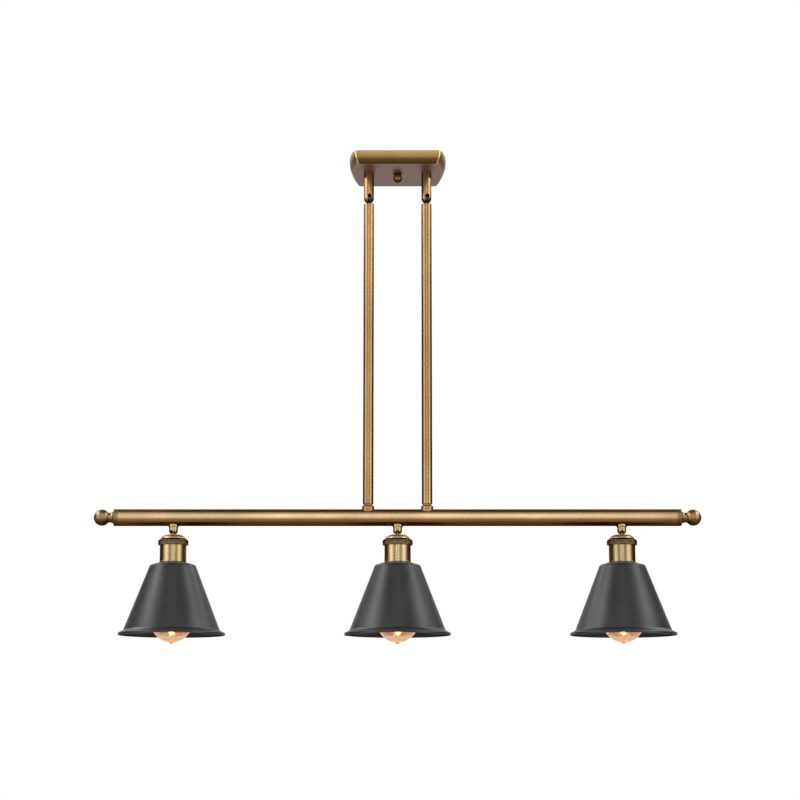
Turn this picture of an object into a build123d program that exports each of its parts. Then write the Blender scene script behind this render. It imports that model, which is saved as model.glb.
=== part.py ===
"""Linear island pendant: a ceiling canopy, two drop rods on ball swivels, and a bar with three shaded lamps.

Millimetres, +Z up. The origin is the middle of the crossbar's top face, in the plane of the ceiling.
+X runs along the bar, and the viewer stands at -Y and looks along +Y.
"""

from build123d import *

import os
from math import cos, radians, sin, sqrt

os.makedirs("parts", exist_ok=True)

# ---------------------------------------------------------------- driving dimensions

overall_length = 914.4  # 36 in over the two end balls
rod_spacing = 88.9  # 3 1/2 in between the two drop rods
lamp_pitch = 337.0  # from one lamp to the next
upper_rod_length = 304.8  # a 12 in rod
lower_rod_length = 161.6  # a 6 in rod with its longer threaded end

canopy_depth = 138.6  # front to back at the ceiling
canopy_end_width = 132.0  # across the straight front edge at the ceiling
canopy_bow = 8.5  # how far each bowed end stands out at mid depth
canopy_height = 19.8
canopy_wall_radius = 30.5  # the walls curve inwards on this radius as they leave the ceiling
canopy_sheet = 1.0
canopy_corner_radius = 6.5
canopy_edge_radius = 2.0
stud_radius = 2.0

box_screw_spacing = 88.9  # screws of a standard ceiling junction box
crossbar_length = 108.0
crossbar_width = 22.0
crossbar_thickness = 2.0
crossbar_slot_width = 4.8
crossbar_slot_length = 15.0

rod_radius = 15.9 / 2  # 5/8 in tube
bar_radius = 25.4 / 2  # 1 in tube
tube_wall = 1.5
thread_radius = 4.8  # the hollow threaded nipples that join rods, collars and canopy
thread_bore = 3.2
thread_gap = 0.05  # radial, in every threaded hole

swivel_radius = 7.7  # canopy swivel, outside
swivel_ball_radius = 6.2
swivel_neck_radius = 2.3
swivel_slot_width = 6.6
swivel_slot_rise = 3.2  # the slot's round end above the ball's centre
swivel_slot_turn = 12.0  # degrees; both slots look a little to the right of straight ahead
swivel_mouth_radius = 4.0
swivel_drop = 57.0  # ceiling to the canopy balls' centres
plug_height = 6.4  # the collar between canopy and swivel cup

lamp_swivel_radius = 6.7
lamp_swivel_corner = 4.7  # the rounding of the cup's foot
lamp_swivel_length = 12.2  # from the bar down to the cup's foot
lamp_ball_rise = 6.25  # the ball's centre above the cup's foot
lamp_ball_radius = 4.7
lamp_neck_radius = 1.9
lamp_slot_width = 5.3
lamp_slot_drop = 3.2  # the slot's round end below the ball's centre
lamp_mouth_radius = 3.1
ball_gap = 0.08  # running clearance of a ball in its seat

bar_drop = 552.7  # ceiling to the bar's axis
end_ball_radius = 12.15
finial_neck_radius = 7.4

shade_rim_radius = 79.6
shade_sheet = 0.9
bulb_radius = 31.0

# names and places of what repeats
rod_places = {"left": -rod_spacing / 2, "right": rod_spacing / 2}
lamp_places = {"left": -lamp_pitch, "middle": 0.0, "right": lamp_pitch}
lamp_slot_turns = {"left": -22.0, "middle": 0.0, "right": 0.0}  # degrees; the left one is turned aside

# ---------------------------------------------------------------- heights worked out from them

swivel_z = -swivel_drop
swivel_foot_z = swivel_z - swivel_radius
upper_rod_top_z = swivel_foot_z - 1.0
rod_seam_z = upper_rod_top_z - upper_rod_length
lower_rod_foot_z = rod_seam_z - lower_rod_length
bar_z = -bar_drop
lamp_cup_foot_z = bar_z - bar_radius - lamp_swivel_length
lamp_swivel_z = lamp_cup_foot_z + lamp_ball_rise
cap_top_z = lamp_cup_foot_z - 1.0


def upright(x, y=0.0):
    """The plane that faces the viewer through (x, y): sketch X is +X and sketch Y is the height."""
    return Plane(origin=(x, y, 0), x_dir=(1, 0, 0), z_dir=(0, -1, 0))


def plumb(x, y=0.0):
    """The vertical line through (x, y)."""
    return Axis((x, y, 0), (0, 0, 1))


def turned_upright(x, z, turn):
    """An upright plane at (x, 0, z) that faces the viewer, turned to the right by some degrees."""
    across = (cos(radians(turn)), sin(radians(turn)), 0)
    forward = (sin(radians(turn)), -cos(radians(turn)), 0)
    return Plane(origin=(x, 0, z), x_dir=across, z_dir=forward)


def level(x, y, z):
    """The level plane at a height, centred over (x, y)."""
    return Plane(origin=(x, y, z), x_dir=(1, 0, 0), z_dir=(0, 0, 1))


def domed_foot(radius, centre_z):
    """The round foot of a turned piece, in half section: from its side in to its axis."""
    lean = radius * sin(radians(45))
    ThreePointArc((radius, centre_z), (lean, centre_z - lean), (0, centre_z - radius))


# ---------------------------------------------------------------- ceiling mount

canopy_half_depth = canopy_depth / 2
canopy_half_width = canopy_end_width / 2 + canopy_bow
# the bowed end is an arc through both corners and the middle of the end
bow_radius = (canopy_half_depth**2 + canopy_bow**2) / (2 * canopy_bow)
bow_centre_x = canopy_half_width - bow_radius
wall_run_in = canopy_wall_radius - sqrt(canopy_wall_radius**2 - canopy_height**2)


def half_pan_outline(half_width, inner_x):
    """One side of the pan in section: a wall that leaves the ceiling upright and curves inwards."""
    foot = (half_width - wall_run_in, -canopy_height)
    Line((inner_x, 0), (half_width, 0))
    RadiusArc((half_width, 0), foot, canopy_wall_radius)
    Line(foot, (inner_x, -canopy_height))
    Line((inner_x, -canopy_height), (inner_x, 0))


with BuildPart() as canopy:
    # front and back walls: one section, run along X
    with BuildSketch(Plane.YZ):
        with BuildLine():
            half_pan_outline(canopy_half_depth, 0)
        make_face()
        mirror(about=Plane.YZ)
    extrude(amount=canopy_half_width + 1, both=True)
    # each bowed end: the same wall turned about the far centre of its bow
    for end in (1, -1):
        with BuildSketch(upright(end * bow_centre_x)):
            with BuildLine():
                half_pan_outline(bow_radius, 0)
            make_face()
        revolve(axis=plumb(end * bow_centre_x), mode=Mode.INTERSECT)
    # soften the four upright corners, then the edge round the flat underside
    upright_corners = canopy.edges().filter_by(
        lambda edge: edge.bounding_box().size.Z > canopy_height - 1
    )
    fillet(upright_corners, canopy_corner_radius)
    fillet(canopy.faces().sort_by(Axis.Z)[0].edges(), canopy_edge_radius)
    offset(amount=-canopy_sheet, openings=canopy.faces().sort_by(Axis.Z)[-1])
    # holes through the floor for the two swivel nipples and the stud
    floor_z = canopy_sheet - canopy_height
    with Locations([(x, 0, floor_z) for x in rod_places.values()]):
        Hole(thread_radius + 0.3, depth=2 * canopy_sheet)
    with Locations((0, 0, floor_z)):
        Hole(stud_radius + 0.6, depth=2 * canopy_sheet)
canopy.part.label = "canopy"
export_step(canopy.part, "parts/canopy.step")

stud_boss_radius = 4.2
stud_boss_height = 2.0
ground_screw_radius = 1.9
ground_screw_y = 26.0

with BuildPart() as crossbar:
    with BuildSketch(Plane.XY.offset(-crossbar_thickness)):
        RectangleRounded(crossbar_width, crossbar_length, 5)
        with GridLocations(0, box_screw_spacing, 1, 2):
            SlotOverall(crossbar_slot_length, crossbar_slot_width, rotation=90, mode=Mode.SUBTRACT)
        with Locations((0, ground_screw_y)):
            Circle(ground_screw_radius + thread_gap, mode=Mode.SUBTRACT)
    extrude(amount=crossbar_thickness)
    # the pierced and tapped boss for the stud
    with BuildSketch(Plane.XY.offset(-crossbar_thickness)):
        Circle(stud_boss_radius)
    extrude(amount=-stud_boss_height)
    with Locations((0, 0, 0)):
        Hole(stud_radius + thread_gap)
crossbar.part.label = "crossbar"
export_step(crossbar.part, "parts/crossbar.step")

ball_nut_radius = 6.8
ball_nut_flat = 4.6  # from the ball's centre to the flat that meets the canopy
ball_nut_z = -canopy_height - ball_nut_flat
stud_foot_z = ball_nut_z + 0.5

with BuildPart() as canopy_stud:
    with BuildSketch(Plane.XY.offset(stud_foot_z)):
        Circle(stud_radius)
    extrude(amount=-stud_foot_z)
    chamfer(canopy_stud.edges().filter_by(GeomType.CIRCLE), 0.4)
canopy_stud.part.label = "canopy_stud"
export_step(canopy_stud.part, "parts/canopy_stud.step")

with BuildPart() as stud_nut:
    with BuildSketch(Plane.XY.offset(-crossbar_thickness - stud_boss_height)):
        RegularPolygon(4.0, 6, major_radius=False)
        Circle(stud_radius + thread_gap, mode=Mode.SUBTRACT)
    extrude(amount=-3.2)
stud_nut.part.label = "stud_nut"
export_step(stud_nut.part, "parts/stud_nut.step")

with BuildPart() as ball_nut:
    with BuildSketch(upright(0)):
        with BuildLine():
            flat_edge = (sqrt(ball_nut_radius**2 - ball_nut_flat**2), -canopy_height)
            Line((0, -canopy_height), flat_edge)
            ThreePointArc(
                flat_edge, (ball_nut_radius, ball_nut_z), (0, ball_nut_z - ball_nut_radius)
            )
            Line((0, ball_nut_z - ball_nut_radius), (0, -canopy_height))
        make_face()
    revolve(axis=plumb(0))
    with Locations((0, 0, -canopy_height)):
        Hole(stud_radius + thread_gap, depth=ball_nut_flat)
ball_nut.part.label = "ball_nut"
export_step(ball_nut.part, "parts/ball_nut.step")

ground_head_radius = 4.2
ground_head_height = 2.4

with BuildPart() as ground_screw:
    with BuildSketch(level(0, ground_screw_y, -crossbar_thickness)):
        Circle(ground_head_radius)
    extrude(amount=-ground_head_height)
    chamfer(ground_screw.edges().sort_by(Axis.Z)[0], 0.8)
    with BuildSketch(level(0, ground_screw_y, -crossbar_thickness)):
        Circle(ground_screw_radius)
    extrude(amount=crossbar_thickness)
    # driver slot across the head
    with BuildSketch(level(0, ground_screw_y, -crossbar_thickness - ground_head_height)):
        Rectangle(2 * ground_head_radius + 1, 1.0)
    extrude(amount=ground_head_height / 2, mode=Mode.SUBTRACT)
ground_screw.part.label = "ground_screw"
export_step(ground_screw.part, "parts/ground_screw.step")

# ---------------------------------------------------------------- canopy swivels

plug_foot_z = -canopy_height - plug_height
nipple_top_z = -8.0
spigot_radius = swivel_radius - 1.45
spigot_length = 12.0
seat_radius = swivel_ball_radius + ball_gap
stem_shank_length = 9.0
stem_bore = 1.5
lock_washer_radius = 8.5
lock_washer_height = 0.8
lock_nut_radius = 7.0  # across the flats, halved
lock_nut_height = 3.5

for side, x in rod_places.items():
    # a collar under the canopy, a nipple up through it and a spigot down into the cup
    with BuildPart() as swivel_plug:
        with BuildSketch(upright(x)):
            with Locations((0, plug_foot_z)):
                Rectangle(swivel_radius, plug_height, align=(Align.MIN, Align.MIN))
                Rectangle(thread_radius, nipple_top_z - plug_foot_z, align=(Align.MIN, Align.MIN))
                Rectangle(spigot_radius, spigot_length, align=(Align.MIN, Align.MAX))
            with Locations((0, nipple_top_z)):
                Rectangle(thread_bore, 2 * swivel_drop, align=(Align.MIN, Align.MAX), mode=Mode.SUBTRACT)
        revolve(axis=plumb(x))
    swivel_plug.part.label = f"swivel_plug_{side}"
    export_step(swivel_plug.part, f"parts/swivel_plug_{side}.step")

    # the cup: a tube with a domed foot, bored out to a ball seat, with a slot for the neck
    with BuildPart() as swivel_cup:
        with BuildSketch(upright(x)):
            with BuildLine():
                Polyline((0, plug_foot_z), (swivel_radius, plug_foot_z), (swivel_radius, swivel_z))
                domed_foot(swivel_radius, swivel_z)
                Line((0, swivel_foot_z), (0, plug_foot_z))
            make_face()
        revolve(axis=plumb(x))
        with BuildSketch(upright(x)):
            with BuildLine():
                Polyline((0, plug_foot_z), (seat_radius, plug_foot_z), (seat_radius, swivel_z))
                domed_foot(seat_radius, swivel_z)
                Line((0, swivel_z - seat_radius), (0, plug_foot_z))
            make_face()
        revolve(axis=plumb(x), mode=Mode.SUBTRACT)
        with BuildSketch(level(x, 0, swivel_z)):
            Circle(swivel_mouth_radius)
        extrude(amount=-2 * swivel_radius, mode=Mode.SUBTRACT)
        # the slot runs from its round end down through the foot, on the front side only
        with BuildSketch(turned_upright(x, swivel_z, swivel_slot_turn)):
            with Locations((0, swivel_slot_rise)):
                Circle(swivel_slot_width / 2)
                Rectangle(swivel_slot_width, 2 * swivel_radius, align=(Align.CENTER, Align.MAX))
        extrude(amount=2 * swivel_radius, mode=Mode.SUBTRACT)
    swivel_cup.part.label = f"swivel_cup_{side}"
    export_step(swivel_cup.part, f"parts/swivel_cup_{side}.step")

    # the ball, its neck and the threaded shank that screws into the rod
    with BuildPart() as ball_stem:
        with BuildSketch(level(x, 0, upper_rod_top_z)):
            Circle(thread_radius)
        extrude(amount=-stem_shank_length)
        with BuildSketch(level(x, 0, upper_rod_top_z)):
            Circle(swivel_neck_radius)
        extrude(amount=swivel_z - upper_rod_top_z)
        with Locations((x, 0, swivel_z)):
            Sphere(swivel_ball_radius)
        # the wire bore, right through
        with BuildSketch(level(x, 0, swivel_z)):
            Circle(stem_bore)
        extrude(amount=2 * stem_shank_length, both=True, mode=Mode.SUBTRACT)
    ball_stem.part.label = f"ball_stem_{side}"
    export_step(ball_stem.part, f"parts/ball_stem_{side}.step")

with BuildPart() as canopy_lock_nuts:
    for x in rod_places.values():
        with BuildSketch(level(x, 0, floor_z)):
            Circle(lock_washer_radius)
            Circle(thread_radius + thread_gap, mode=Mode.SUBTRACT)
        extrude(amount=lock_washer_height)
        with BuildSketch(level(x, 0, floor_z + lock_washer_height + 0.02)):
            RegularPolygon(lock_nut_radius, 6, major_radius=False)
            Circle(thread_radius + thread_gap, mode=Mode.SUBTRACT)
        extrude(amount=lock_nut_height)
canopy_lock_nuts.part.label = "canopy_lock_nuts"
export_step(canopy_lock_nuts.part, "parts/canopy_lock_nuts.step")

# ---------------------------------------------------------------- drop rods

nipple_length = 26.0
nipple_grip = 10.0  # how much of the lower nipple sits in the rod
tapped_depth = 14.0
rod_top_chamfer = 0.9
rod_end_chamfer = 0.35


def tube_section(top_z, foot_z):
    """Half the section of a rod: a tube with a thick tapped end at the top and at the foot."""
    length = top_z - foot_z
    from_foot_up = (Align.MIN, Align.MIN)
    with Locations((0, foot_z)):
        Rectangle(rod_radius, length, align=from_foot_up)
        Rectangle(thread_radius + thread_gap, length, align=from_foot_up, mode=Mode.SUBTRACT)
    with Locations((0, foot_z + tapped_depth)):
        Rectangle(
            rod_radius - tube_wall, length - 2 * tapped_depth, align=from_foot_up, mode=Mode.SUBTRACT
        )


for side, x in rod_places.items():
    with BuildPart() as upper_rod:
        with BuildSketch(upright(x)):
            tube_section(upper_rod_top_z, rod_seam_z)
        revolve(axis=plumb(x))
        outer_rims = upper_rod.edges().filter_by(GeomType.CIRCLE).sort_by(SortBy.RADIUS)[-2:]
        chamfer(outer_rims.sort_by(Axis.Z)[-1], rod_top_chamfer)
    upper_rod.part.label = f"upper_rod_{side}"
    export_step(upper_rod.part, f"parts/upper_rod_{side}.step")

    with BuildPart() as lower_rod:
        with BuildSketch(upright(x)):
            tube_section(rod_seam_z, lower_rod_foot_z)
        revolve(axis=plumb(x))
        outer_rims = lower_rod.edges().filter_by(GeomType.CIRCLE).sort_by(SortBy.RADIUS)[-2:]
        chamfer(outer_rims, rod_end_chamfer)
    lower_rod.part.label = f"lower_rod_{side}"
    export_step(lower_rod.part, f"parts/lower_rod_{side}.step")

# hollow nipples: one pair joins the rods, the other goes through the collars into the bar
with BuildPart() as rod_nipples:
    for x in rod_places.values():
        for nipple_foot_z in (
            rod_seam_z - nipple_length / 2,
            lower_rod_foot_z + nipple_grip - nipple_length,
        ):
            with BuildSketch(level(x, 0, nipple_foot_z)):
                Circle(thread_radius)
                Circle(thread_bore, mode=Mode.SUBTRACT)
            extrude(amount=nipple_length)
rod_nipples.part.label = "rod_nipples"
export_step(rod_nipples.part, "parts/rod_nipples.step")

# ---------------------------------------------------------------- bar

bar_half_length = 420.4
bar_bore = bar_radius - tube_wall
bar_hole_radius = thread_radius + 0.2
boss_radius = 7.0
boss_height = 7.5
bar_axis = Axis((0, 0, bar_z), (1, 0, 0))


def along_bar(x):
    """The plane across the bar at x, centred on its axis."""
    return Plane(origin=(x, 0, bar_z), x_dir=(0, 1, 0), z_dir=(1, 0, 0))


with BuildPart() as bar:
    with BuildSketch(along_bar(-bar_half_length)):
        Circle(bar_radius)
        Circle(bar_bore, mode=Mode.SUBTRACT)
    extrude(amount=2 * bar_half_length)
    outer_rims = bar.edges().filter_by(GeomType.CIRCLE).sort_by(SortBy.RADIUS)[-2:]
    chamfer(outer_rims, 0.4)
    # holes for the collars' nipples on top and the lamp swivels' nipples below
    for x in rod_places.values():
        with BuildSketch(level(x, 0, bar_z)):
            Circle(bar_hole_radius)
        extrude(amount=bar_radius + 1, mode=Mode.SUBTRACT)
    for x in lamp_places.values():
        with BuildSketch(level(x, 0, bar_z)):
            Circle(bar_hole_radius)
        extrude(amount=-bar_radius - 1, mode=Mode.SUBTRACT)
bar.part.label = "bar"
export_step(bar.part, "parts/bar.step")

# tapped bosses inside the tube, shaped to its bore: two on top and three below
with BuildPart() as bar_bosses:
    for x in rod_places.values():
        with BuildSketch(level(x, 0, bar_z + bar_bore - boss_height)):
            Circle(boss_radius)
            Circle(thread_radius + thread_gap, mode=Mode.SUBTRACT)
        extrude(amount=boss_height)
    for x in lamp_places.values():
        with BuildSketch(level(x, 0, bar_z - bar_bore)):
            Circle(boss_radius)
            Circle(thread_radius + thread_gap, mode=Mode.SUBTRACT)
        extrude(amount=boss_height)
    with BuildSketch(along_bar(-bar_half_length)):
        Circle(bar_bore - 0.03)
    extrude(amount=2 * bar_half_length, mode=Mode.INTERSECT)
bar_bosses.part.label = "bar_bosses"
export_step(bar_bosses.part, "parts/bar_bosses.step")

# collars that saddle the bar under the rods
collar_radius = 9.25
collar_neck_radius = 6.3
collar_neck_height = 1.9
collar_slope = 2.0

for side, x in rod_places.items():
    with BuildPart() as collar:
        with BuildSketch(upright(x)):
            with BuildLine():
                collar_top_z = lower_rod_foot_z - collar_neck_height
                Polyline(
                    (thread_radius + thread_gap, bar_z),
                    (thread_radius + thread_gap, lower_rod_foot_z),
                    (collar_neck_radius, lower_rod_foot_z),
                    (collar_neck_radius, collar_top_z),
                    (collar_neck_radius + 0.6, collar_top_z),
                    (collar_radius, collar_top_z - collar_slope),
                    (collar_radius, bar_z),
                    close=True,
                )
            make_face()
        revolve(axis=plumb(x))
        with BuildSketch(along_bar(x - 2 * collar_radius)):
            Circle(bar_radius + 0.02)
        extrude(amount=4 * collar_radius, mode=Mode.SUBTRACT)
    collar.part.label = f"collar_{side}"
    export_step(collar.part, f"parts/collar_{side}.step")

# ball finials with a coved neck, a grooved ring and a spigot into the tube
finial_spigot_length = 14.0
finial_cove_radius = 5.3
finial_groove_x = 425.0
finial_groove_depth = 0.5
cove_end_x = 426.8
end_ball_x = overall_length / 2 - end_ball_radius
neck_start_x = end_ball_x - sqrt(end_ball_radius**2 - finial_neck_radius**2)
cove_start_x = cove_end_x + finial_cove_radius
cove_45 = finial_cove_radius * sin(radians(45))


def finial_section(hand):
    """Half the section of an end finial; hand is +1 at the right end of the bar and -1 at the left."""

    def at(x, radius):
        return (hand * x, bar_z + radius)

    start = at(bar_half_length - finial_spigot_length, 0)
    Polyline(
        start,
        at(bar_half_length - finial_spigot_length, bar_bore - 0.05),
        at(bar_half_length, bar_bore - 0.05),
        at(bar_half_length, bar_radius - 0.3),
        at(bar_half_length + 0.3, bar_radius),
        at(finial_groove_x - finial_groove_depth, bar_radius),
        at(finial_groove_x, bar_radius - finial_groove_depth),
        at(finial_groove_x + finial_groove_depth, bar_radius),
        at(cove_end_x - 0.3, bar_radius),
        at(cove_end_x, finial_neck_radius + finial_cove_radius),
    )
    ThreePointArc(
        at(cove_end_x, finial_neck_radius + finial_cove_radius),
        at(cove_start_x - cove_45, finial_neck_radius + finial_cove_radius - cove_45),
        at(cove_start_x, finial_neck_radius),
    )
    Line(at(cove_start_x, finial_neck_radius), at(neck_start_x, finial_neck_radius))
    ThreePointArc(
        at(neck_start_x, finial_neck_radius),
        at(end_ball_x, end_ball_radius),
        at(end_ball_x + end_ball_radius, 0),
    )
    Line(at(end_ball_x + end_ball_radius, 0), start)


for side, hand in (("left", -1), ("right", 1)):
    with BuildPart() as finial:
        with BuildSketch(Plane.XZ):
            with BuildLine():
                finial_section(hand)
            make_face()
        revolve(axis=bar_axis)
    finial.part.label = f"finial_{side}"
    export_step(finial.part, f"parts/finial_{side}.step")

# ---------------------------------------------------------------- lamp swivels

lamp_flange_radius = 7.8
lamp_flange_height = 1.3
lamp_wire_bore = 1.8
lamp_stem_bore = 1.2
lamp_seat_radius = lamp_ball_radius + ball_gap
shank_radius = 4.0
shank_length = 10.0


for side, x in lamp_places.items():
    with BuildPart() as lamp_cup:
        bar_foot_z = bar_z - bar_radius
        with BuildSketch(upright(x)):
            with BuildLine():
                under_flange = (lamp_swivel_radius, bar_foot_z - lamp_flange_height - 0.5)
                Polyline(
                    (0, lamp_cup_foot_z),
                    (0, bar_z),
                    (lamp_flange_radius, bar_z),
                    (lamp_flange_radius, bar_foot_z - lamp_flange_height),
                    under_flange,
                )
                FilletPolyline(
                    under_flange,
                    (lamp_swivel_radius, lamp_cup_foot_z),
                    (0, lamp_cup_foot_z),
                    radius=lamp_swivel_corner,
                )
            make_face()
        revolve(axis=plumb(x))
        with BuildSketch(along_bar(x - 2 * lamp_flange_radius)):
            Circle(bar_radius + 0.02)
        extrude(amount=4 * lamp_flange_radius, mode=Mode.SUBTRACT)
        # the nipple that screws up into the bar's boss
        nipple_foot_z = bar_foot_z - lamp_flange_height
        with BuildSketch(level(x, 0, nipple_foot_z)):
            Circle(thread_radius)
        extrude(amount=bar_z - bar_bore + boss_height - nipple_foot_z)
        # ball seat, wire bore, mouth and neck slot
        with Locations((x, 0, lamp_swivel_z)):
            Sphere(lamp_seat_radius, mode=Mode.SUBTRACT)
        with BuildSketch(level(x, 0, lamp_swivel_z)):
            Circle(lamp_wire_bore)
        extrude(amount=bar_radius + lamp_swivel_radius, mode=Mode.SUBTRACT)
        with BuildSketch(level(x, 0, lamp_swivel_z)):
            Circle(lamp_mouth_radius)
        extrude(amount=-2 * lamp_swivel_radius, mode=Mode.SUBTRACT)
        with BuildSketch(turned_upright(x, lamp_swivel_z, lamp_slot_turns[side])):
            with Locations((0, -lamp_slot_drop)):
                Circle(lamp_slot_width / 2)
                Rectangle(lamp_slot_width, 10, align=(Align.CENTER, Align.MAX))
        extrude(amount=2 * lamp_swivel_radius, mode=Mode.SUBTRACT)
    lamp_cup.part.label = f"lamp_cup_{side}"
    export_step(lamp_cup.part, f"parts/lamp_cup_{side}.step")

    with BuildPart() as lamp_stem:
        with BuildSketch(level(x, 0, cap_top_z - shank_length)):
            Circle(shank_radius)
        extrude(amount=shank_length)
        with BuildSketch(level(x, 0, cap_top_z)):
            Circle(lamp_neck_radius)
        extrude(amount=lamp_swivel_z - cap_top_z)
        with Locations((x, 0, lamp_swivel_z)):
            Sphere(lamp_ball_radius)
        with BuildSketch(level(x, 0, cap_top_z)):
            Circle(lamp_stem_bore)
        extrude(amount=2 * shank_length, both=True, mode=Mode.SUBTRACT)
    lamp_stem.part.label = f"lamp_stem_{side}"
    export_step(lamp_stem.part, f"parts/lamp_stem_{side}.step")

# ---------------------------------------------------------------- lamp holders

cap_flat_radius = 7.0
cap_radius = 18.75
cap_dome_height = 6.9
cap_wall = 1.1
cap_skirt = 5.0
cap_boss_radius = 7.0
cap_foot_z = cap_top_z - cap_dome_height - cap_skirt

ring_radius = 22.65
ring_top_z = cap_top_z - 5.9
ring_slope = 2.9
ring_height = 10.0
ring_foot_z = ring_top_z - ring_height

holder_radius = 19.85
holder_wall = 1.1
holder_top_z = ring_top_z - 3.2
holder_foot_z = cap_top_z - 41.5
bead_radius = 20.1
bead_height = 1.4
nose_radius = 15.8
nose_foot_z = holder_foot_z - 14.5
socket_radius = 13.6
contact_z = holder_foot_z + 13.2

shade_hole_radius = nose_radius + 0.3
shade_top_z = holder_foot_z - 0.05
shade_foot_z = shade_top_z - 108.45
shade_ring_radius = 19.6


def cap_outline(inset):
    """Half the domed cap in section, down to the foot of its skirt, drawn some way inside its surface."""
    dome_z = cap_top_z - cap_dome_height
    Line((0, cap_top_z - inset), (cap_flat_radius, cap_top_z - inset))
    EllipticalCenterArc(
        (cap_flat_radius, dome_z),
        cap_radius - cap_flat_radius - inset,
        cap_dome_height - inset,
        start_angle=0,
        arc_size=90,
    )
    Polyline(
        (cap_radius - inset, dome_z),
        (cap_radius - inset, cap_foot_z),
        (0, cap_foot_z),
        (0, cap_top_z - inset),
    )


for side, x in lamp_places.items():
    # domed cap with a tapped boss for the swivel's shank
    with BuildPart() as socket_cap:
        with BuildSketch(upright(x)):
            with BuildLine():
                cap_outline(0)
            make_face()
            with BuildLine():
                cap_outline(cap_wall)
            make_face(mode=Mode.SUBTRACT)
            with Locations((0, cap_top_z)):
                Rectangle(cap_boss_radius, shank_length + 0.5, align=(Align.MIN, Align.MAX))
                Rectangle(
                    shank_radius + thread_gap, 20, align=(Align.MIN, Align.MAX), mode=Mode.SUBTRACT
                )
        revolve(axis=plumb(x))
    socket_cap.part.label = f"socket_cap_{side}"
    export_step(socket_cap.part, f"parts/socket_cap_{side}.step")

    with BuildPart() as grip_ring:
        with BuildSketch(upright(x)):
            with BuildLine():
                Polyline(
                    (cap_radius + 0.1, ring_top_z),
                    (ring_radius, ring_top_z - ring_slope),
                    (ring_radius, ring_foot_z + 0.8),
                    (ring_radius - 0.8, ring_foot_z),
                    (holder_radius + thread_gap, ring_foot_z),
                    (holder_radius + thread_gap, holder_top_z + 0.1),
                    (cap_radius + 0.1, holder_top_z + 0.1),
                    close=True,
                )
            make_face()
        revolve(axis=plumb(x))
    grip_ring.part.label = f"grip_ring_{side}"
    export_step(grip_ring.part, f"parts/grip_ring_{side}.step")

    # the holder's outer shell, with a bead and an inward lip at its foot
    with BuildPart() as socket_shell:
        with BuildSketch(upright(x)):
            with BuildLine():
                inner_radius = holder_radius - holder_wall
                Polyline(
                    (inner_radius, holder_top_z),
                    (holder_radius, holder_top_z),
                    (holder_radius, holder_foot_z + bead_height),
                    (bead_radius, holder_foot_z + bead_height - 0.25),
                    (bead_radius, holder_foot_z + 0.4),
                    (bead_radius - 0.4, holder_foot_z),
                    (shade_hole_radius, holder_foot_z),
                    (shade_hole_radius, holder_foot_z + holder_wall),
                    (inner_radius, holder_foot_z + holder_wall),
                    close=True,
                )
            make_face()
        revolve(axis=plumb(x))
    socket_shell.part.label = f"socket_shell_{side}"
    export_step(socket_shell.part, f"parts/socket_shell_{side}.step")

    # porcelain body: it fills the shell, and its threaded nose comes down through the shade
    with BuildPart() as socket_body:
        with BuildSketch(upright(x)):
            body_radius = holder_radius - holder_wall - 0.15
            body_top_z = cap_foot_z - 1.0
            shoulder_z = holder_foot_z + holder_wall + 0.05
            with BuildLine():
                Polyline(
                    (0, contact_z + 2.0),
                    (0, body_top_z),
                    (body_radius, body_top_z),
                    (body_radius, shoulder_z),
                    (nose_radius, shoulder_z),
                    (nose_radius, nose_foot_z + 0.6),
                    (nose_radius - 0.6, nose_foot_z),
                    (socket_radius, nose_foot_z),
                    (socket_radius, contact_z + 2.0),
                    close=True,
                )
            make_face()
        revolve(axis=plumb(x))
        # two wire holes down to the contacts
        with BuildSketch(level(x, 0, body_top_z)):
            with GridLocations(14, 0, 2, 1):
                Circle(1.4)
        extrude(amount=contact_z - body_top_z, mode=Mode.SUBTRACT)
    socket_body.part.label = f"socket_body_{side}"
    export_step(socket_body.part, f"parts/socket_body_{side}.step")

    # the screw shell and the centre contact
    with BuildPart() as socket_contacts:
        with BuildSketch(level(x, 0, nose_foot_z + 1.5)):
            Circle(socket_radius - 0.05)
            Circle(socket_radius - 0.45, mode=Mode.SUBTRACT)
        extrude(amount=contact_z - nose_foot_z - 1.5)
        with BuildSketch(level(x, 0, contact_z + 0.4)):
            Circle(3.5)
        extrude(amount=1.6)
    socket_contacts.part.label = f"socket_contacts_{side}"
    export_step(socket_contacts.part, f"parts/socket_contacts_{side}.step")

    # ---- spun shade: a shallow crown, a straight cone and a flat lip with a turned-down edge
    with BuildPart() as shade:
        with BuildSketch(upright(x)):
            with BuildLine():
                FilletPolyline(
                    (shade_hole_radius, shade_top_z),
                    (20.6, shade_top_z),
                    (34.1, shade_top_z - 4.2),
                    (72.0, shade_foot_z + 6.7),
                    (shade_rim_radius, shade_foot_z + 3.1),
                    (shade_rim_radius, shade_foot_z),
                    radius=(3.0, 4.5, 5.0, 1.4),
                )
                offset(amount=shade_sheet, side=Side.RIGHT)
            make_face()
        revolve(axis=plumb(x))
    shade.part.label = f"shade_{side}"
    export_step(shade.part, f"parts/shade_{side}.step")

    with BuildPart() as shade_ring:
        with BuildSketch(level(x, 0, shade_top_z - shade_sheet - 0.1)):
            Circle(shade_ring_radius)
            Circle(nose_radius + thread_gap, mode=Mode.SUBTRACT)
            # finger notches round the ring
            with PolarLocations(shade_ring_radius, 8):
                Circle(1.5, mode=Mode.SUBTRACT)
        extrude(amount=-4.5)
    shade_ring.part.label = f"shade_ring_{side}"
    export_step(shade_ring.part, f"parts/shade_ring_{side}.step")

# ---------------------------------------------------------------- bulbs

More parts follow.
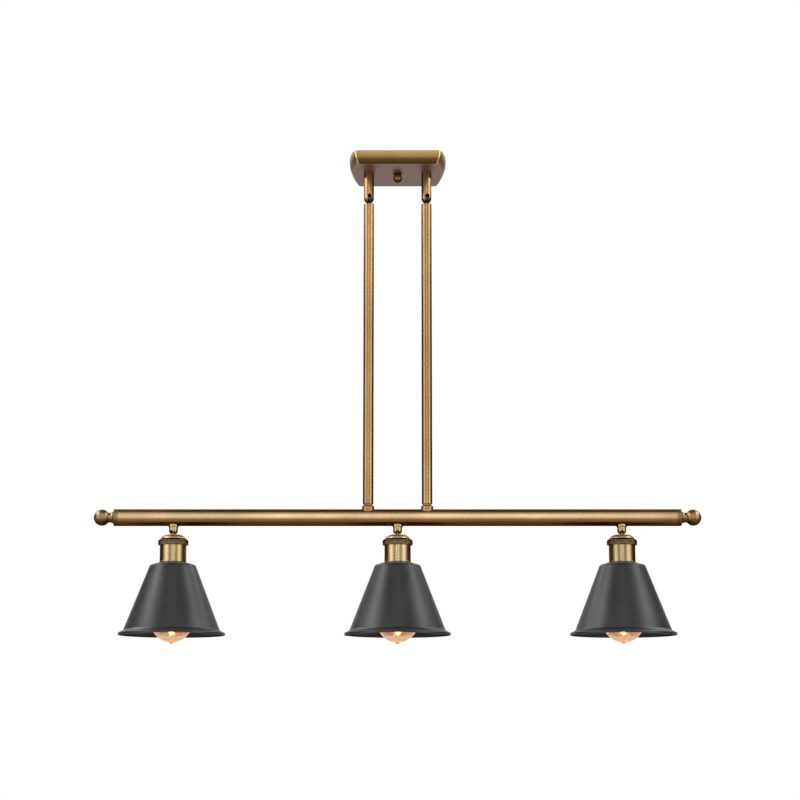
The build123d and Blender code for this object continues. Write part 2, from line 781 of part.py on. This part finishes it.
bulb_tip_z = -741.6
bulb_tip_radius = 4.4
bulb_tip_height = 1.9
bulb_wall = 0.8
bulb_foot_z = bulb_tip_z + bulb_tip_height
bulb_middle_z = bulb_foot_z + bulb_radius
base_radius = socket_radius - 0.65
base_wall = 0.5
base_length = 26.5
base_insulator_height = 5.0
base_floor = 8.0  # the solid end that carries the centre contact
base_top_z = contact_z
base_foot_z = base_top_z - base_length
bulb_neck_radius = base_radius - base_wall - 0.02
bulb_neck_top_z = base_foot_z + 5.0
bulb_neck_foot_z = base_foot_z - 6.0

filament_wires = 8
filament_wire = 0.5
filament_spread = 10.0
mount_foot_z = bulb_middle_z + 12.0
cage_foot_z = bulb_middle_z - 19.0

for side, x in lamp_places.items():
    # blown glass: a straight neck that opens into a globe, with the drawn-off tip below
    with BuildPart() as bulb:
        with BuildSketch(upright(x)):
            with BuildLine():
                Polyline(
                    (0, bulb_neck_top_z),
                    (bulb_neck_radius, bulb_neck_top_z),
                    (bulb_neck_radius, bulb_neck_foot_z),
                )
                Spline(
                    (bulb_neck_radius, bulb_neck_foot_z),
                    (bulb_radius, bulb_middle_z),
                    tangents=((0.15, -1), (0, -1)),
                )
                domed_foot(bulb_radius, bulb_middle_z)
                Line((0, bulb_foot_z), (0, bulb_neck_top_z))
            make_face()
        revolve(axis=plumb(x))
        offset(amount=-bulb_wall, openings=bulb.faces().filter_by(GeomType.PLANE))
        with BuildSketch(upright(x)):
            with BuildLine():
                tip_root_z = bulb_foot_z + bulb_wall / 2
                Line((0, tip_root_z), (bulb_tip_radius, tip_root_z))
                Spline(
                    (bulb_tip_radius, tip_root_z),
                    (0, bulb_tip_z),
                    tangents=((-1, -0.3), (-1, 0)),
                )
                Line((0, bulb_tip_z), (0, tip_root_z))
            make_face()
        revolve(axis=plumb(x))
    bulb.part.label = f"bulb_{side}"
    export_step(bulb.part, f"parts/bulb_{side}.step")

    # the screw base: a thin shell below a solid end with its centre contact on top
    with BuildPart() as bulb_base:
        with BuildSketch(upright(x)):
            with BuildLine():
                Polyline(
                    (0, base_top_z),
                    (4.6, base_top_z),
                    (4.6, base_top_z - 1.2),
                    (8.0, base_top_z - 3.6),
                    (base_radius, base_top_z - base_insulator_height),
                    (base_radius, base_foot_z),
                    (base_radius - base_wall, base_foot_z),
                    (base_radius - base_wall, base_top_z - base_floor),
                    (0, base_top_z - base_floor),
                    close=True,
                )
            make_face()
        revolve(axis=plumb(x))
    bulb_base.part.label = f"bulb_base_{side}"
    export_step(bulb_base.part, f"parts/bulb_base_{side}.step")

    # a flared glass mount in the neck, its lead wire, and a cage of slanting filament wires
    with BuildPart() as filament:
        with BuildSketch(upright(x)):
            with BuildLine():
                Polyline(
                    (0, bulb_neck_top_z),
                    (bulb_neck_radius - bulb_wall - 0.02, bulb_neck_top_z),
                    (bulb_neck_radius - bulb_wall - 0.02, bulb_neck_top_z - 1.2),
                    (3.6, bulb_neck_top_z - 9.0),
                    (1.6, mount_foot_z),
                    (0, mount_foot_z),
                    close=True,
                )
            make_face()
        revolve(axis=plumb(x))
        with BuildSketch(level(x, 0, bulb_neck_top_z)):
            Circle(0.6)
        extrude(amount=base_top_z - base_floor - bulb_neck_top_z)
        with BuildSketch(level(x, 0, cage_foot_z)):
            Circle(0.9)
        extrude(amount=mount_foot_z - cage_foot_z)
        for turn in range(filament_wires):
            wide_angle = 360 / filament_wires * (turn + 0.5)
            near_angle = 360 / filament_wires * turn
            wide = Vector(filament_spread, 0, 0).rotate(Axis.Z, wide_angle)
            near = Vector(1.0, 0, 0).rotate(Axis.Z, near_angle)
            wide += Vector(x, 0, (mount_foot_z + cage_foot_z) / 2)
            for end_z in (mount_foot_z, cage_foot_z + filament_wire):
                end = near + Vector(x, 0, end_z)
                with BuildSketch(Plane(origin=end, z_dir=wide - end)):
                    Rectangle(filament_wire, filament_wire)
                extrude(amount=(wide - end).length + filament_wire / 2)
    filament.part.label = f"filament_{side}"
    export_step(filament.part, f"parts/filament_{side}.step")
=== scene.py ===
"""Looks for the linear island pendant: antiqued brass, charcoal shades and lit filament bulbs.

Metres, +Z up, in the part's own frame: the ceiling is at height 0 and the viewer stands at -Y.
"""

from math import cos, pi, radians, sin

import bmesh
import bpy
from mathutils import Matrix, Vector


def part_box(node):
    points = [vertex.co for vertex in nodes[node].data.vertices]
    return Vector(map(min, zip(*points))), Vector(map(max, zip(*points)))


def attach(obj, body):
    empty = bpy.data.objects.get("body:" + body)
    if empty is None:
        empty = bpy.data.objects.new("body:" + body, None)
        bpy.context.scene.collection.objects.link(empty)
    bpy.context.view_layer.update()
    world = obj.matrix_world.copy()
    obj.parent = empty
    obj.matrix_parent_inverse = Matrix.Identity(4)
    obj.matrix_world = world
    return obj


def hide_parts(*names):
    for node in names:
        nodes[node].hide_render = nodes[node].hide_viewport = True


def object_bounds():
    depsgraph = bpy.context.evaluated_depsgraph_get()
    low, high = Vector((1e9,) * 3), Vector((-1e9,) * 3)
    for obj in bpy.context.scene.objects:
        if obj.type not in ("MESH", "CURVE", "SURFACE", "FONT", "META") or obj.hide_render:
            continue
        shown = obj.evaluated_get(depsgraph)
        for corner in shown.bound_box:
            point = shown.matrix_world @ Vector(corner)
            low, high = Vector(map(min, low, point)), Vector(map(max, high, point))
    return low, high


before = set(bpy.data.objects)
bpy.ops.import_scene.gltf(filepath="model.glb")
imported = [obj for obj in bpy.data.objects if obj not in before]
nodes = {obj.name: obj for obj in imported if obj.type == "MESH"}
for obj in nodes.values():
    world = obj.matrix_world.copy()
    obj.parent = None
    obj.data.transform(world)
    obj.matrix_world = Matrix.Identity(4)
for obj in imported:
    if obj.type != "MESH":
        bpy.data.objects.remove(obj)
cad_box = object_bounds()

SIDES = ("left", "middle", "right")
PAIR = ("left", "right")

# ---------------------------------------------------------------- node helpers


def new_material(name):
    """An empty material, its node tree and its main shader."""
    material = bpy.data.materials.new(name)
    material.use_nodes = True
    tree = material.node_tree
    return material, tree, tree.nodes["Principled BSDF"]


def add(tree, kind, **settings):
    """A new node of a kind, with its properties set."""
    node = tree.nodes.new(kind)
    for key, value in settings.items():
        setattr(node, key, value)
    return node


def noise(tree, scale, detail, stretch=(1, 1, 1)):
    """Noise in the object's own coordinates, in features per metre, drawn out along an axis."""
    place = add(tree, "ShaderNodeTexCoord")
    mapping = add(tree, "ShaderNodeMapping")
    mapping.inputs["Scale"].default_value = stretch
    texture = add(tree, "ShaderNodeTexNoise")
    texture.inputs["Scale"].default_value = scale
    texture.inputs["Detail"].default_value = detail
    tree.links.new(place.outputs["Object"], mapping.inputs["Vector"])
    tree.links.new(mapping.outputs["Vector"], texture.inputs["Vector"])
    return texture.outputs["Fac"]


def ramp(tree, source, *stops):
    """A colour ramp over a value: stops are (position, colour)."""
    node = add(tree, "ShaderNodeValToRGB")
    elements = node.color_ramp.elements
    while len(elements) < len(stops):
        elements.new(0.5)
    for element, (position, colour) in zip(elements, stops):
        element.position = position
        element.color = (*colour, 1)
    tree.links.new(source, node.inputs["Fac"])
    return node.outputs["Color"]


def spread(tree, source, low, high):
    """A value from 0 to 1 carried over to a range."""
    node = add(tree, "ShaderNodeMapRange")
    node.inputs["To Min"].default_value = low
    node.inputs["To Max"].default_value = high
    tree.links.new(source, node.inputs["Value"])
    return node.outputs["Result"]


def mix(tree, factor, low, high):
    """Two colours mixed by a value."""
    node = add(tree, "ShaderNodeMix", data_type="RGBA")
    tree.links.new(factor, node.inputs["Factor"])
    # a mix node has sockets for numbers and vectors too: its colours are 6 and 7, and 2 on the way out
    for value, socket in ((low, node.inputs[6]), (high, node.inputs[7])):
        if isinstance(value, tuple):
            socket.default_value = (*value, 1)
        else:
            tree.links.new(value, socket)
    return node.outputs[2]


def dimmed(colour):
    """The darker tone of a stained or smudged metal."""
    return tuple(0.72 * channel for channel in colour)


def bump(tree, shader, height, depth, strength):
    """Relief on a shader, of a depth in metres."""
    node = add(tree, "ShaderNodeBump")
    node.inputs["Strength"].default_value = strength
    node.inputs["Distance"].default_value = depth
    tree.links.new(height, node.inputs["Height"])
    tree.links.new(node.outputs["Normal"], shader.inputs["Normal"])


def facing(tree, axis, start, end):
    """How far a face looks along an axis of its own object: 0 up to the start, 1 from the end on."""
    place = add(tree, "ShaderNodeTexCoord")
    parts = add(tree, "ShaderNodeSeparateXYZ")
    node = add(tree, "ShaderNodeMapRange", interpolation_type="SMOOTHSTEP")
    node.inputs["From Min"].default_value = start
    node.inputs["From Max"].default_value = end
    tree.links.new(place.outputs["Normal"], parts.inputs["Vector"])
    tree.links.new(parts.outputs[axis], node.inputs["Value"])
    return node.outputs["Result"]


def levelness(tree):
    """0 where a wall stands upright and 1 where it lies level, the same on both sides of the wall."""
    place = add(tree, "ShaderNodeTexCoord")
    parts = add(tree, "ShaderNodeSeparateXYZ")
    level = add(tree, "ShaderNodeMath", operation="ABSOLUTE")
    tree.links.new(place.outputs["Normal"], parts.inputs["Vector"])
    tree.links.new(parts.outputs["Z"], level.inputs[0])
    return level.outputs["Value"]


def edge_mask(tree, radius):
    """1 along the edges of a piece and 0 on its open faces."""
    rounded = add(tree, "ShaderNodeBevel", samples=4)
    rounded.inputs["Radius"].default_value = radius
    flat = add(tree, "ShaderNodeNewGeometry")
    match = add(tree, "ShaderNodeVectorMath", operation="DOT_PRODUCT")
    tree.links.new(rounded.outputs["Normal"], match.inputs[0])
    tree.links.new(flat.outputs["Normal"], match.inputs[1])
    # the two normals agree on open faces and part near an edge
    node = add(tree, "ShaderNodeMapRange")
    node.inputs["From Min"].default_value = 0.96
    node.inputs["From Max"].default_value = 0.85
    tree.links.new(match.outputs["Value"], node.inputs["Value"])
    return node.outputs["Result"]


# ---------------------------------------------------------------- metals

# brushed lines: how many there are per metre along them, and how much closer they lie across
LINE_SCALE = 60
CLOSER = 60
BRUSH = {
    "X": (1, CLOSER, CLOSER),
    "Z": (CLOSER, CLOSER, 1),
    "around X": (CLOSER, 1, 1),
    "around Z": (1, 1, CLOSER),
}
WORN_BRASS = (0.60, 0.43, 0.22)


def antique_brass(
    name,
    brush,
    tangent_axis,
    light=(0.34, 0.210, 0.092),
    dark=(0.085, 0.034, 0.010),
    roughness=(0.18, 0.28),
    stretch=0.3,
    rim=(0.12, 0.09, 0.06),
):
    """Brass, patinated brown: brushed one way, with painted shade darkening its underside, and paler on its
    edges.
    """
    material, tree, shader = new_material(name)
    shader.inputs["Metallic"].default_value = 1.0
    shader.inputs["Specular Tint"].default_value = (*rim, 1)
    shader.inputs["Anisotropic"].default_value = stretch
    shader.inputs["Anisotropic Rotation"].default_value = 0.25
    tangent = add(tree, "ShaderNodeTangent", direction_type="RADIAL", axis=tangent_axis)
    tree.links.new(tangent.outputs["Tangent"], shader.inputs["Tangent"])
    lines = noise(tree, LINE_SCALE, detail=3, stretch=BRUSH[brush])
    stain = noise(tree, 9, detail=2)
    tone_layer = ramp(tree, stain, (0.30, dimmed(light)), (0.60, light))
    streaked = mix(tree, spread(tree, lines, 0.0, 0.18), tone_layer, dark)
    # painted shade: faces that look down are darkened towards the dark tone
    painted_underside_shade = mix(tree, facing(tree, "Z", 0.15, -0.75), streaked, dark)
    worn = mix(tree, spread(tree, edge_mask(tree, radius=0.0005), 0.0, 0.5), painted_underside_shade, WORN_BRASS)
    tree.links.new(worn, shader.inputs["Base Color"])
    tree.links.new(spread(tree, lines, *roughness), shader.inputs["Roughness"])
    bump(tree, shader, lines, depth=0.00001, strength=0.2)
    return material


def canopy_brass():
    """The canopy's brass, with a painted highlight on its corners and painted grey reflections on its ends
    and underside.
    """
    # painted highlight: the rounded corners are painted lighter
    rubbed_and_highlight = (0.44, 0.30, 0.14)
    # painted reflection: the ends and the underside are painted grey
    grey_end_reflection = (0.30, 0.215, 0.16)
    grey_underside_reflection = (0.325, 0.272, 0.257)
    material = antique_brass(
        "antique_brass_canopy",
        "X",
        "X",
        light=(0.31, 0.190, 0.074),
        dark=(0.040, 0.019, 0.006),
        roughness=(0.26, 0.34),
        stretch=0.7,
        rim=(0.40, 0.35, 0.32),
    )
    tree = material.node_tree
    shader = tree.nodes["Principled BSDF"]
    colour = shader.inputs["Base Color"]
    canopy_colour = colour.links[0].from_socket
    # (how far a face looks sideways where the painted colour starts, and where it is full, the painted
    # colour)
    for start, end, tone_layer in ((0.15, 0.40, rubbed_and_highlight), (0.68, 0.90, grey_end_reflection)):
        sideways = add(tree, "ShaderNodeMath", operation="MAXIMUM")
        tree.links.new(facing(tree, "X", start, end), sideways.inputs[0])
        tree.links.new(facing(tree, "X", -start, -end), sideways.inputs[1])
        canopy_colour = mix(tree, sideways.outputs["Value"], canopy_colour, tone_layer)
    # painted grey reflection on the faces that look down
    tree.links.new(mix(tree, facing(tree, "Z", -0.80, -0.97), canopy_colour, grey_underside_reflection), colour)
    return material


def plain_metal(name, colour, roughness):
    """Plated or turned metal with faint machining marks and smudges."""
    material, tree, shader = new_material(name)
    shader.inputs["Metallic"].default_value = 1.0
    marks = noise(tree, LINE_SCALE, detail=3, stretch=BRUSH["around Z"])
    smudge = noise(tree, 90, detail=4)
    tree.links.new(mix(tree, smudge, dimmed(colour), colour), shader.inputs["Base Color"])
    tree.links.new(spread(tree, marks, roughness - 0.06, roughness + 0.08), shader.inputs["Roughness"])
    bump(tree, shader, marks, depth=0.00002, strength=0.4)
    return material


def charcoal():
    """Satin charcoal coating: a fine grain, a slight unevenness in tone and gloss, painted shade on its
    underside, and edges worn paler.
    """
    material, tree, shader = new_material("satin_charcoal")
    shader.inputs["Metallic"].default_value = 0.9
    shader.inputs["Specular Tint"].default_value = (0.60, 0.60, 0.62, 1)
    shader.inputs["Sheen Weight"].default_value = 0.10
    shader.inputs["Sheen Roughness"].default_value = 0.45
    cloud = noise(tree, 18, detail=4)
    grain = noise(tree, 2600, detail=2)
    tone = ramp(tree, cloud, (0.35, (0.025, 0.026, 0.0255)), (0.65, (0.031, 0.032, 0.0315)))
    # painted shade: faces that look down are darkened towards near black
    painted_shade_below = mix(tree, facing(tree, "Z", 0.0, -0.6), tone, (0.013, 0.013, 0.0135))
    # real wear: the coat's edges are worn paler
    rubbed_and_highlight = spread(tree, edge_mask(tree, radius=0.0006), 0.0, 0.35)
    worn = mix(tree, rubbed_and_highlight, painted_shade_below, (0.09, 0.086, 0.082))
    tree.links.new(worn, shader.inputs["Base Color"])
    tree.links.new(spread(tree, cloud, 0.36, 0.42), shader.inputs["Roughness"])
    bump(tree, shader, grain, depth=0.00002, strength=0.3)
    return material


def porcelain():
    """Glazed white porcelain with a faint mottle."""
    material, tree, shader = new_material("porcelain")
    mottle = noise(tree, 120, detail=4)
    tree.links.new(mix(tree, mottle, (0.72, 0.69, 0.62), (0.84, 0.82, 0.77)), shader.inputs["Base Color"])
    tree.links.new(spread(tree, mottle, 0.16, 0.26), shader.inputs["Roughness"])
    bump(tree, shader, mottle, depth=0.0001, strength=0.2)
    return material


# ---------------------------------------------------------------- bulbs


def amber_glass():
    """Blown glass tinted amber.

    A painted orange glow stands for the filament's light round its waist, where the glass is also hazy; it
    is palest in a band below that, and amber at its foot.
    """
    material, tree, shader = new_material("amber_glass")
    shader.inputs["Transmission Weight"].default_value = 1.0
    shader.inputs["IOR"].default_value = 1.47
    shader.inputs["Specular Tint"].default_value = (0.18, 0.15, 0.12, 1)
    shader.inputs["Emission Strength"].default_value = 0.14
    wave = noise(tree, 45, detail=2)
    level = levelness(tree)
    # the tint: the painted glow's orange round the waist, pale in a band below, amber at the foot
    tint_and_painted_glow = ramp(
        tree,
        level,
        (0.56, (1.0, 0.50, 0.20)),
        (0.64, (0.97, 0.90, 0.87)),
        (0.76, (0.95, 0.86, 0.80)),
        (0.85, (0.75, 0.58, 0.31)),
        (0.97, (0.82, 0.55, 0.27)),
    )
    uneven = mix(tree, spread(tree, wave, 0.0, 0.3), tint_and_painted_glow, (1.0, 0.72, 0.46))
    tree.links.new(uneven, shader.inputs["Base Color"])
    # painted glow: the glass itself shines orange round its waist and faintly at its foot, for the
    # filament's light
    glow = ramp(
        tree,
        level,
        (0.54, (1.0, 0.32, 0.04)),
        (0.62, (0.05, 0.03, 0.02)),
        (0.80, (0.10, 0.05, 0.01)),
        (0.97, (0.50, 0.20, 0.08)),
    )
    tree.links.new(glow, shader.inputs["Emission Color"])
    tree.links.new(spread(tree, level, 0.58, 0.0), shader.inputs["Roughness"])
    bump(tree, shader, wave, depth=0.0003, strength=0.2)
    return material


def glowing_filament():
    """Carbon filament at work: orange, hotter along the middle of each wire."""
    material, tree, shader = new_material("glowing_filament")
    heat = noise(tree, 240, detail=2)
    glow = ramp(tree, heat, (0.3, (1.0, 0.30, 0.05)), (0.6, (1.0, 0.62, 0.22)))
    tree.links.new(glow, shader.inputs["Emission Color"])
    tree.links.new(glow, shader.inputs["Base Color"])
    shader.inputs["Emission Strength"].default_value = 36.0
    return material


# ---------------------------------------------------------------- knurled grip rings


def knurled_ring(side):
    """The lamp holder's grip ring, with upright serrations rolled round its waist."""
    low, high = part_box(f"grip_ring_{side}")
    middle = (low + high) / 2
    radius = (high.x - low.x) / 2
    height = high.z - low.z
    foot_bore = 0.0198
    foot_radius = 0.0202
    foot_bevel = 0.0008
    top_radius = 0.0190
    top_bore = 0.0187
    teeth = 64
    steps = teeth * 6
    tooth_depth = 0.00042
    # (share of the height, radius, share of the tooth depth)
    profile = (
        (0.02, foot_bore, 0),
        (0.00, foot_radius, 0),
        (0.00, radius - foot_bevel, 0),
        (0.07, radius, 0),
        (0.14, radius, 0.2),
        (0.20, radius, 1),
        (0.60, radius, 1),
        (0.66, radius, 0.2),
        (0.71, radius, 0),
        (1.00, top_radius, 0),
        (1.00, top_bore, 0),
    )
    mesh = bmesh.new()
    rings = []
    for share, ring_radius, depth_share in profile:
        ring = []
        for step in range(steps):
            angle = 2 * pi * step / steps
            groove = tooth_depth * depth_share * (0.5 - 0.5 * cos(teeth * angle))
            r = ring_radius - groove
            place = (middle.x + r * cos(angle), r * sin(angle), low.z + share * height)
            ring.append(mesh.verts.new(place))
        rings.append(ring)
    for lower, upper in zip(rings, rings[1:]):
        for step in range(steps):
            after = (step + 1) % steps
            mesh.faces.new((lower[step], lower[after], upper[after], upper[step]))
    data = bpy.data.meshes.new(f"knurled_ring_{side}")
    mesh.to_mesh(data)
    mesh.free()
    data.shade_smooth()
    ring_object = bpy.data.objects.new(f"knurled_ring_{side}", data)
    bpy.context.scene.collection.objects.link(ring_object)
    edges = ring_object.modifiers.new("edges", "EDGE_SPLIT")
    edges.split_angle = radians(40)
    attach(ring_object, f"lamp_{side}")
    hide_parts(f"grip_ring_{side}")
    return ring_object


# ---------------------------------------------------------------- dress the pieces

HOLDER_RIM = (0.45, 0.32, 0.20)

# painted light: the bar wears a lighter copy of the turned brass
brass_bar = antique_brass(
    "antique_brass_bar",
    "X",
    "X",
    light=(0.47, 0.312, 0.153),
    roughness=(0.21, 0.27),
    stretch=0.7,
)
brass_turned = antique_brass("antique_brass_turned", "around Z", "Z")
# painted shade: the rods, swivel plugs and swivel cups wear a darker copy of the turned brass
brass_rod = antique_brass("antique_brass_rods", "Z", "Z", light=(0.27, 0.168, 0.074))
# painted shade: the ball nut, collars and end balls wear a darker, rougher copy of the turned brass
brass_dull_shaded = antique_brass(
    "antique_brass_ends",
    "around X",
    "X",
    light=(0.25, 0.160, 0.074),
    dark=(0.060, 0.028, 0.010),
    roughness=(0.34, 0.42),
    stretch=0.0,
    rim=(0.20, 0.15, 0.10),
)
brass_canopy = canopy_brass()
brass_holder = antique_brass(
    "antique_brass_holder",
    "around Z",
    "Z",
    light=(0.33, 0.245, 0.130),
    roughness=(0.22, 0.32),
    rim=HOLDER_RIM,
)
# painted light: the socket caps wear a lighter, rougher copy of the holder brass
brass_cap = antique_brass(
    "antique_brass_cap",
    "around Z",
    "Z",
    light=(0.52, 0.350, 0.175),
    roughness=(0.38, 0.46),
    rim=HOLDER_RIM,
)
bronze = antique_brass(
    "dull_bronze",
    "around Z",
    "Z",
    light=(0.085, 0.062, 0.038),
    dark=(0.045, 0.034, 0.022),
    roughness=(0.30, 0.40),
    rim=(0.60, 0.50, 0.40),
)
# the swivel balls and their necks are made dark, so their slots show dark
dark_swivel_metal = plain_metal("dark_swivel_metal", (0.045, 0.040, 0.035), 0.20)
steel = plain_metal("zinc_plated_steel", (0.60, 0.60, 0.58), 0.32)
green_steel = plain_metal("green_screw", (0.06, 0.26, 0.10), 0.38)
bright_brass = plain_metal("bright_brass", (0.72, 0.52, 0.22), 0.22)
shade_coat = charcoal()
white_porcelain = porcelain()
glass = amber_glass()
filament_glow = glowing_filament()

# what each piece wears; a piece that isn't named here is turned brass
DRESS = {
    "canopy": brass_canopy,
    "ball_nut": brass_dull_shaded,
    "bar": brass_bar,
    "crossbar": steel,
    "canopy_stud": steel,
    "stud_nut": steel,
    "canopy_lock_nuts": steel,
    "rod_nipples": steel,
    "bar_bosses": steel,
    "ground_screw": green_steel,
}
for side in PAIR:
    DRESS[f"swivel_plug_{side}"] = brass_rod
    DRESS[f"swivel_cup_{side}"] = brass_rod
    DRESS[f"ball_stem_{side}"] = dark_swivel_metal
    DRESS[f"upper_rod_{side}"] = brass_rod
    DRESS[f"lower_rod_{side}"] = brass_rod
    DRESS[f"collar_{side}"] = brass_dull_shaded
    DRESS[f"finial_{side}"] = brass_dull_shaded
for side in SIDES:
    DRESS[f"lamp_cup_{side}"] = brass_holder
    DRESS[f"socket_cap_{side}"] = brass_cap
    DRESS[f"socket_shell_{side}"] = brass_holder
    DRESS[f"socket_body_{side}"] = white_porcelain
    DRESS[f"socket_contacts_{side}"] = bright_brass
    DRESS[f"shade_{side}"] = shade_coat
    DRESS[f"shade_ring_{side}"] = steel
    DRESS[f"bulb_{side}"] = glass
    DRESS[f"bulb_base_{side}"] = bright_brass
    DRESS[f"filament_{side}"] = filament_glow

for name, node in nodes.items():
    node.data.materials.clear()
    node.data.materials.append(DRESS.get(name, brass_turned))

for side in SIDES:
    knurled_ring(side).data.materials.append(bronze)

# ---------------------------------------------------------------- stage

FLOOR_DROP = 0.9
FLOOR_RADIUS = 4.6
middle_z = (cad_box[0][2] + cad_box[1][2]) / 2
floor_z = cad_box[0][2] - FLOOR_DROP


def seen_rays(tree):
    """1 for the rays that show the background: seen by the camera, in gloss or through glass."""
    ray = add(tree, "ShaderNodeLightPath")
    seen = ray.outputs["Is Camera Ray"]
    for kind in ("Is Glossy Ray", "Is Transmission Ray"):
        either = add(tree, "ShaderNodeMath", operation="MAXIMUM")
        tree.links.new(seen, either.inputs[0])
        tree.links.new(ray.outputs[kind], either.inputs[1])
        seen = either.outputs["Value"]
    return seen


def pale_floor():
    """A pale floor that shows from above only, evened out towards white where it is seen."""
    mesh = bmesh.new()
    bmesh.ops.create_circle(mesh, cap_ends=True, segments=96, radius=FLOOR_RADIUS)
    data = bpy.data.meshes.new("floor")
    mesh.to_mesh(data)
    mesh.free()
    floor = bpy.data.objects.new("floor", data)
    floor.location = (0, 0, floor_z)
    bpy.context.scene.collection.objects.link(floor)
    material, tree, shader = new_material("floor")
    speckle = noise(tree, 9, detail=3)
    tree.links.new(mix(tree, speckle, (0.78, 0.78, 0.78), (0.82, 0.82, 0.82)), shader.inputs["Base Color"])
    shader.inputs["Roughness"].default_value = 0.8
    white = add(tree, "ShaderNodeEmission")
    even = add(tree, "ShaderNodeMixShader")
    tree.links.new(spread(tree, seen_rays(tree), 0.0, 0.82), even.inputs["Fac"])
    tree.links.new(shader.outputs["BSDF"], even.inputs[1])
    tree.links.new(white.outputs["Emission"], even.inputs[2])
    geometry = add(tree, "ShaderNodeNewGeometry")
    clear = add(tree, "ShaderNodeBsdfTransparent")
    choose = add(tree, "ShaderNodeMixShader")
    tree.links.new(geometry.outputs["Backfacing"], choose.inputs["Fac"])
    tree.links.new(even.outputs["Shader"], choose.inputs[1])
    tree.links.new(clear.outputs["BSDF"], choose.inputs[2])
    tree.links.new(choose.outputs["Shader"], tree.nodes["Material Output"].inputs["Surface"])
    data.materials.append(material)


def white_world(light_level):
    """A soft even light, seen as white wherever it shows."""
    world = bpy.data.worlds.new("studio")
    bpy.context.scene.world = world
    world.use_nodes = True
    tree = world.node_tree
    soft = tree.nodes["Background"]
    soft.inputs["Color"].default_value = (1, 1, 1, 1)
    soft.inputs["Strength"].default_value = light_level
    white = add(tree, "ShaderNodeBackground")
    white.inputs["Color"].default_value = (1, 1, 1, 1)
    white.inputs["Strength"].default_value = 1.0
    choose = add(tree, "ShaderNodeMixShader")
    tree.links.new(seen_rays(tree), choose.inputs["Fac"])
    tree.links.new(soft.outputs["Background"], choose.inputs[1])
    tree.links.new(white.outputs["Background"], choose.inputs[2])
    tree.links.new(choose.outputs["Shader"], tree.nodes["World Output"].inputs["Surface"])


def aim(thing, azimuth, elevation, distance):
    """Set a lamp or card round the part, facing it; azimuth 0 is the viewer's side, 90 the right."""
    direction = Vector((
        sin(radians(azimuth)) * cos(radians(elevation)),
        -cos(radians(azimuth)) * cos(radians(elevation)),
        sin(radians(elevation)),
    ))
    thing.location = Vector((0, 0, middle_z)) + distance * direction
    thing.rotation_euler = direction.to_track_quat("Z", "Y").to_euler()


def softbox(name, azimuth, elevation, distance, width, height, radiance):
    """An area lamp that looks at the part from out of the frame."""
    lamp = bpy.data.lights.new(name, "AREA")
    lamp.shape = "RECTANGLE"
    lamp.size = width
    lamp.size_y = height
    lamp.energy = radiance * pi * width * height
    lamp_object = bpy.data.objects.new(name, lamp)
    lamp_object.visible_camera = False
    aim(lamp_object, azimuth, elevation, distance)
    bpy.context.scene.collection.objects.link(lamp_object)


def flag(name, azimuth, elevation, distance, width, height):
    """A black card that looks at the part from out of the frame and darkens the edges of its metal."""
    data = bpy.data.meshes.new(name)
    mesh = bmesh.new()
    bmesh.ops.create_grid(mesh, x_segments=1, y_segments=1, size=0.5)
    mesh.to_mesh(data)
    mesh.free()
    card = bpy.data.objects.new(name, data)
    card.scale = (width, height, 1)
    card.visible_camera = False
    aim(card, azimuth, elevation, distance)
    bpy.context.scene.collection.objects.link(card)
    material, tree, shader = new_material(name)
    weave = noise(tree, 300, detail=2)
    tree.links.new(mix(tree, weave, (0.012, 0.012, 0.012), (0.02, 0.02, 0.02)), shader.inputs["Base Color"])
    shader.inputs["Roughness"].default_value = 0.9
    data.materials.append(material)


pale_floor()
white_world(light_level=0.3)
for hand, side, top_radiance in ((-1, "left", 8.5), (1, "right", 7.0)):
    softbox(
        f"{side}_box",
        azimuth=hand * 57,
        elevation=6,
        distance=2.4,
        width=1.3,
        height=2.0,
        radiance=2.5,
    )
    softbox(
        f"{side}_top_box",
        azimuth=hand * 104,
        elevation=37,
        distance=2.4,
        width=3.0,
        height=1.0,
        radiance=top_radiance,
    )
    softbox(
        f"{side}_front_strip",
        azimuth=hand * 9,
        elevation=11,
        distance=2.6,
        width=0.3,
        height=2.9,
        radiance=3.9,
    )
    flag(f"{side}_flag", azimuth=hand * 114, elevation=0, distance=2.4, width=2.4, height=1.9)
flag("back_top_flag", azimuth=180, elevation=82, distance=2.6, width=3.0, height=3.0)

# the viewer stands 3 m in front, a little below the lamps, and looks up by 9.745 degrees
camera_data = bpy.data.cameras.new("camera")
camera_data.sensor_width = 36
camera_data.lens = 90.08
camera = bpy.data.objects.new("camera", camera_data)
camera.location = (0.0036, -3.0, -0.8882)
camera.rotation_euler = (radians(90 + 9.745), 0, 0)
bpy.context.scene.collection.objects.link(camera)
bpy.context.scene.camera = camera
bpy.context.scene.view_settings.view_transform = "Standard"
